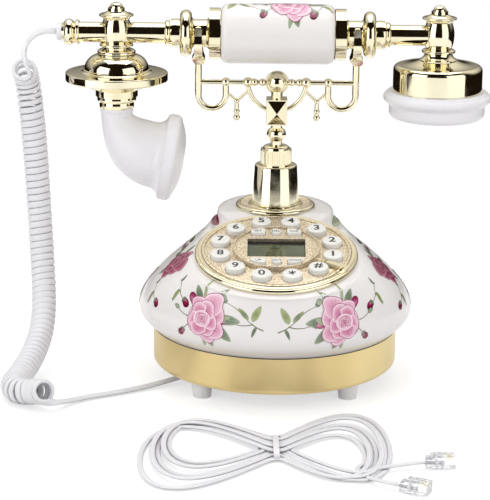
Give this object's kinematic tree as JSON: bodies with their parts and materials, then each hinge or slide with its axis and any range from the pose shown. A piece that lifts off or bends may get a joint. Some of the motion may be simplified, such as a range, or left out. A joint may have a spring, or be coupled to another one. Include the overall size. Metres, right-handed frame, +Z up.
{
  "type": "cradle telephone",
  "caption": "Antique-style table telephone: domed ceramic base with a push-button dial, gold column and sprung cradle, two-armed handset, curly cord and a spare line cord.",
  "frame": {"origin": "on the table under the middle of the round base", "axes": "+Z up, +X to the right as the dial is read, along the handset, with the earpiece at +X; the dial faces -Y"},
  "size_m": [0.3005, 0.2929, 0.2261],
  "materials": {
    "gold_polished": "polished",
    "gold_brushed": "satin",
    "ceramic": "gloss",
    "white_plastic": "gloss",
    "cord_white": "satin",
    "clear_plastic": "gloss",
    "display": "satin",
    "window": "gloss",
    "dark_plastic": "matte",
    "steel": "satin",
    "board": "satin",
    "mat": "matte"
  },
  "bodies": {
    "base": {"column_cone": "gold_polished", "dial_bezel": "gold_polished", "dial_centre_plate": "gold_polished", "dial_plate": "gold_polished", "escutcheon": "gold_polished", "fluted_collar": "gold_polished", "base_band": "gold_brushed", "ceramic_body": "ceramic", "bottom_plate": "white_plastic", "feet": "white_plastic", "cord_grommet": "white_plastic", "curly_cord": "cord_white", "cord_tail": "cord_white", "line_cord": "cord_white", "line_plugs": "clear_plastic", "lcd_panel": "display", "lcd_window": "window", "line_jack": "dark_plastic", "hook_switch": "dark_plastic", "ringer": "dark_plastic", "bottom_screws": "steel", "hook_spring": "steel", "keypad_board": "board", "key_mat": "mat"},
    "handset": {"grip": "ceramic", "tie_rod": "steel", "grip_collars": "gold_polished", "mouth_arm": "gold_polished", "ear_arm": "gold_polished", "mouth_bell": "gold_polished", "mouth_horn": "white_plastic", "microphone": "dark_plastic", "mouth_cap": "white_plastic", "ear_shell": "gold_polished", "ear_cap": "white_plastic", "receiver": "dark_plastic", "cord_bush": "white_plastic", "cord_lead": "cord_white"},
    "cradle": {"cradle_stem": "gold_polished", "cradle_frame": "gold_polished", "left_fork": "gold_polished", "right_fork": "gold_polished"},
    "key_1": {"key_1": "white_plastic"},
    "key_2": {"key_2": "white_plastic"},
    "key_3": {"key_3": "white_plastic"},
    "key_4": {"key_4": "white_plastic"},
    "key_5": {"key_5": "white_plastic"},
    "key_6": {"key_6": "white_plastic"},
    "key_7": {"key_7": "white_plastic"},
    "key_8": {"key_8": "white_plastic"},
    "key_9": {"key_9": "white_plastic"},
    "key_0": {"key_0": "white_plastic"},
    "key_star": {"key_star": "white_plastic"},
    "key_hash": {"key_hash": "white_plastic"},
    "function_upper_left": {"function_upper_left": "white_plastic"},
    "function_upper_middle": {"function_upper_middle": "white_plastic"},
    "function_upper_right": {"function_upper_right": "white_plastic"},
    "function_lower_left": {"function_lower_left": "white_plastic"},
    "function_lower_middle": {"function_lower_middle": "white_plastic"},
    "function_lower_right": {"function_lower_right": "white_plastic"}
  },
  "joints": [
    {"name": "handset_lift", "type": "slide", "parent": "base", "child": "handset", "axis": [0, 0, 1], "range_m": [0, 0.12], "deforming": ["curly_cord"]},
    {"name": "cradle_rise", "type": "slide", "parent": "base", "child": "cradle", "axis": [0, 0, 1], "range_m": [0, 0.004], "stiffness_N_per_m": 150, "springref_m": 0.01, "deforming": ["hook_spring"]},
    {"name": "key_1_press", "type": "slide", "parent": "base", "child": "key_1", "axis": [0, 0.2164, -0.9763], "range_m": [0, 0.0012], "stiffness_N_per_m": 300, "springref_m": -0.0004},
    {"name": "key_2_press", "type": "slide", "parent": "base", "child": "key_2", "axis": [0, 0.2164, -0.9763], "range_m": [0, 0.0012], "stiffness_N_per_m": 300, "springref_m": -0.0004},
    {"name": "key_3_press", "type": "slide", "parent": "base", "child": "key_3", "axis": [0, 0.2164, -0.9763], "range_m": [0, 0.0012], "stiffness_N_per_m": 300, "springref_m": -0.0004},
    {"name": "key_4_press", "type": "slide", "parent": "base", "child": "key_4", "axis": [0, 0.2164, -0.9763], "range_m": [0, 0.0012], "stiffness_N_per_m": 300, "springref_m": -0.0004},
    {"name": "key_5_press", "type": "slide", "parent": "base", "child": "key_5", "axis": [0, 0.2164, -0.9763], "range_m": [0, 0.0012], "stiffness_N_per_m": 300, "springref_m": -0.0004},
    {"name": "key_6_press", "type": "slide", "parent": "base", "child": "key_6", "axis": [0, 0.2164, -0.9763], "range_m": [0, 0.0012], "stiffness_N_per_m": 300, "springref_m": -0.0004},
    {"name": "key_7_press", "type": "slide", "parent": "base", "child": "key_7", "axis": [0, 0.2164, -0.9763], "range_m": [0, 0.0012], "stiffness_N_per_m": 300, "springref_m": -0.0004},
    {"name": "key_8_press", "type": "slide", "parent": "base", "child": "key_8", "axis": [0, 0.2164, -0.9763], "range_m": [0, 0.0012], "stiffness_N_per_m": 300, "springref_m": -0.0004},
    {"name": "key_9_press", "type": "slide", "parent": "base", "child": "key_9", "axis": [0, 0.2164, -0.9763], "range_m": [0, 0.0012], "stiffness_N_per_m": 300, "springref_m": -0.0004},
    {"name": "key_0_press", "type": "slide", "parent": "base", "child": "key_0", "axis": [0, 0.2164, -0.9763], "range_m": [0, 0.0012], "stiffness_N_per_m": 300, "springref_m": -0.0004},
    {"name": "key_star_press", "type": "slide", "parent": "base", "child": "key_star", "axis": [0, 0.2164, -0.9763], "range_m": [0, 0.0012], "stiffness_N_per_m": 300, "springref_m": -0.0004},
    {"name": "key_hash_press", "type": "slide", "parent": "base", "child": "key_hash", "axis": [0, 0.2164, -0.9763], "range_m": [0, 0.0012], "stiffness_N_per_m": 300, "springref_m": -0.0004},
    {"name": "function_upper_left_press", "type": "slide", "parent": "base", "child": "function_upper_left", "axis": [0, 0.2164, -0.9763], "range_m": [0, 0.0012], "stiffness_N_per_m": 300, "springref_m": -0.0004},
    {"name": "function_upper_middle_press", "type": "slide", "parent": "base", "child": "function_upper_middle", "axis": [0, 0.2164, -0.9763], "range_m": [0, 0.0012], "stiffness_N_per_m": 300, "springref_m": -0.0004},
    {"name": "function_upper_right_press", "type": "slide", "parent": "base", "child": "function_upper_right", "axis": [0, 0.2164, -0.9763], "range_m": [0, 0.0012], "stiffness_N_per_m": 300, "springref_m": -0.0004},
    {"name": "function_lower_left_press", "type": "slide", "parent": "base", "child": "function_lower_left", "axis": [0, 0.2164, -0.9763], "range_m": [0, 0.0012], "stiffness_N_per_m": 300, "springref_m": -0.0004},
    {"name": "function_lower_middle_press", "type": "slide", "parent": "base", "child": "function_lower_middle", "axis": [0, 0.2164, -0.9763], "range_m": [0, 0.0012], "stiffness_N_per_m": 300, "springref_m": -0.0004},
    {"name": "function_lower_right_press", "type": "slide", "parent": "base", "child": "function_lower_right", "axis": [0, 0.2164, -0.9763], "range_m": [0, 0.0012], "stiffness_N_per_m": 300, "springref_m": -0.0004}
  ],
  "couplings": [
    {"joint": "cradle_rise", "follows": "handset_lift", "ratio": 0.033}
  ]
}
